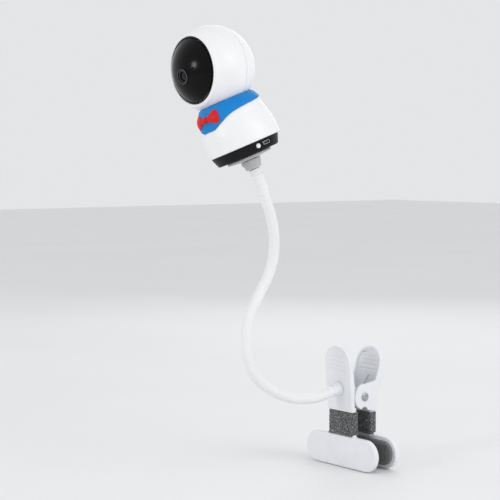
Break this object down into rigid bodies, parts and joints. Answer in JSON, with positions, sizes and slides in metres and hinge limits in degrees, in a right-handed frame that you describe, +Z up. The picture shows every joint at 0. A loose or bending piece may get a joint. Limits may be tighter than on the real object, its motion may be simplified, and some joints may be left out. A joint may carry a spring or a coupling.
{
  "type": "baby monitor camera",
  "caption": "Ball-headed pan and tilt baby camera with a bow and scarf, on a bendable gooseneck with a sprung rail clip.",
  "frame": {"origin": "middle of the front jaw pad's gripping face, on the side that bears on the rail", "axes": "+Y across the clip from the front jaw to the rear jaw, -Y the way the lens looks, +Z up, +X along the rail, to the right seen from the front"},
  "size_m": [0.0964, 0.2103, 0.3916],
  "materials": {
    "white_gloss_plastic": "polished moulded plastic",
    "white_clip_plastic": "satin moulded plastic",
    "black_plastic": "satin moulded plastic",
    "black_window": "mirror-gloss smoked acrylic",
    "blue_plastic": "satin moulded plastic",
    "red_plastic": "satin moulded plastic",
    "white_silicone": "soft satin silicone with fine rings",
    "light_grey_plastic": "satin moulded plastic",
    "speckled_cloth": "charcoal cloth with pale flecks",
    "grey_rubber": "matt rubber",
    "steel": "plain steel",
    "brass": "turned brass",
    "circuit_board": "coated circuit board",
    "white_nylon": "moulded nylon",
    "lens_glass": "coated lens"
  },
  "bodies": {
    "clip_front": {"front_lever": "white_clip_plastic", "front_grip_sleeve": "speckled_cloth", "front_jaw_pad": "grey_rubber", "hinge_pin": "steel", "pin_clip": "steel", "clip_spring": "steel", "neck_foot_ferrule": "white_clip_plastic", "neck_foot_screw": "steel", "neck_sleeve_1": "white_silicone", "neck_core_1": "steel"},
    "clip_rear": {"rear_lever": "white_clip_plastic", "rear_grip_sleeve": "speckled_cloth", "rear_jaw_pad": "grey_rubber"},
    "neck_2": {"neck_sleeve_2": "white_silicone", "neck_core_2": "steel"},
    "neck_3": {"neck_sleeve_3": "white_silicone", "neck_core_3": "steel"},
    "neck_4": {"neck_sleeve_4": "white_silicone", "neck_core_4": "steel"},
    "neck_5": {"neck_sleeve_5": "white_silicone", "neck_core_5": "steel"},
    "camera_base": {"neck_sleeve_6": "white_silicone", "neck_core_6": "steel", "neck_top_ferrule": "white_clip_plastic", "mount_stud": "steel", "mount_flange": "light_grey_plastic", "base_cover": "black_plastic", "base_screw_1": "steel", "base_screw_2": "steel", "threaded_insert": "brass", "ballast_plate": "steel", "main_board": "circuit_board", "usb_socket": "steel", "speaker": "black_plastic", "speaker_grille": "black_plastic", "body_shell": "white_gloss_plastic", "scarf_collar": "blue_plastic", "bow_tie": "red_plastic", "pan_bearing_plate": "white_nylon", "pan_motor": "steel"},
    "lock_ring": {"lock_ring": "light_grey_plastic"},
    "reset_button": {"reset_button": "white_gloss_plastic"},
    "pan_stage": {"turntable": "white_gloss_plastic", "pan_gear": "white_nylon", "tilt_yoke": "white_nylon", "slot_shield": "white_gloss_plastic", "tilt_motor": "steel"},
    "pan_pinion": {"pan_pinion": "white_nylon"},
    "ball": {"ball_front_shell": "white_gloss_plastic", "ball_rear_shell": "white_gloss_plastic", "face_rim": "black_plastic", "face_window": "black_window", "lens_bezel": "black_plastic", "lens_glass": "lens_glass", "lens_barrel": "black_plastic", "sensor_board": "circuit_board", "tilt_gear": "white_nylon", "tilt_axle": "steel"},
    "tilt_pinion": {"tilt_pinion": "white_nylon"}
  },
  "joints": [
    {"name": "clip_hinge", "type": "hinge", "parent": "clip_front", "child": "clip_rear", "pos_m": [0, 0.007, 0.05], "axis": [1, 0, 0], "range_deg": [-12.5, 34], "stiffness_Nm_per_rad": 0.8, "springref_deg": -34.38, "deforming": ["clip_spring"]},
    {"name": "neck_joint_1", "type": "hinge", "parent": "clip_front", "child": "neck_2", "pos_m": [0, -0.05924, 0.05323], "axis": [1, 0, 0], "range_deg": [-20, 20]},
    {"name": "neck_joint_2", "type": "hinge", "parent": "neck_2", "child": "neck_3", "pos_m": [0, -0.10263, 0.07303], "axis": [0, 0.6474, 0.7622], "range_deg": [-20, 20]},
    {"name": "neck_joint_3", "type": "hinge", "parent": "neck_3", "child": "neck_4", "pos_m": [0, -0.11717, 0.11686], "axis": [1, 0, 0], "range_deg": [-20, 20]},
    {"name": "neck_joint_4", "type": "hinge", "parent": "neck_4", "child": "neck_5", "pos_m": [0.00048, -0.09661, 0.15991], "axis": [0, 0.8614, -0.5079], "range_deg": [-20, 20]},
    {"name": "neck_joint_5", "type": "hinge", "parent": "neck_5", "child": "camera_base", "pos_m": [0.00693, -0.09384, 0.20619], "axis": [1, 0, 0], "range_deg": [-20, 20]},
    {"name": "lock_ring_turn", "type": "hinge", "parent": "camera_base", "child": "lock_ring", "pos_m": [0.00624, -0.11629, 0.26092], "axis": [-0.2326, -0.3173, 0.9193], "range_deg": [0, 360]},
    {"name": "reset_press", "type": "slide", "parent": "camera_base", "child": "reset_button", "axis": [-0.942, 0.3087, -0.1318], "range_m": [0, 0.0006], "stiffness_N_per_m": 800, "springref_m": -0.001},
    {"name": "pan", "type": "hinge", "parent": "camera_base", "child": "pan_stage", "pos_m": [-0.014, -0.1439, 0.3409], "axis": [-0.2326, -0.3173, 0.9193], "range_deg": [-175, 175]},
    {"name": "pan_pinion_spin", "type": "hinge", "parent": "camera_base", "child": "pan_pinion", "pos_m": [-0.01235, -0.16396, 0.33439], "axis": [-0.2326, -0.3173, 0.9193], "range_deg": [-705, 705]},
    {"name": "tilt", "type": "hinge", "parent": "pan_stage", "child": "ball", "pos_m": [-0.014, -0.1439, 0.3409], "axis": [-0.9694, 0, -0.2453], "range_deg": [-11, 39]},
    {"name": "tilt_pinion_spin", "type": "hinge", "parent": "pan_stage", "child": "tilt_pinion", "pos_m": [-0.01311, -0.12981, 0.33737], "axis": [-0.9694, 0, -0.2453], "range_deg": [-121, 37]}
  ],
  "couplings": [
    {"joint": "pan_pinion_spin", "follows": "pan", "ratio": -4},
    {"joint": "tilt_pinion_spin", "follows": "tilt", "ratio": -3}
  ]
}
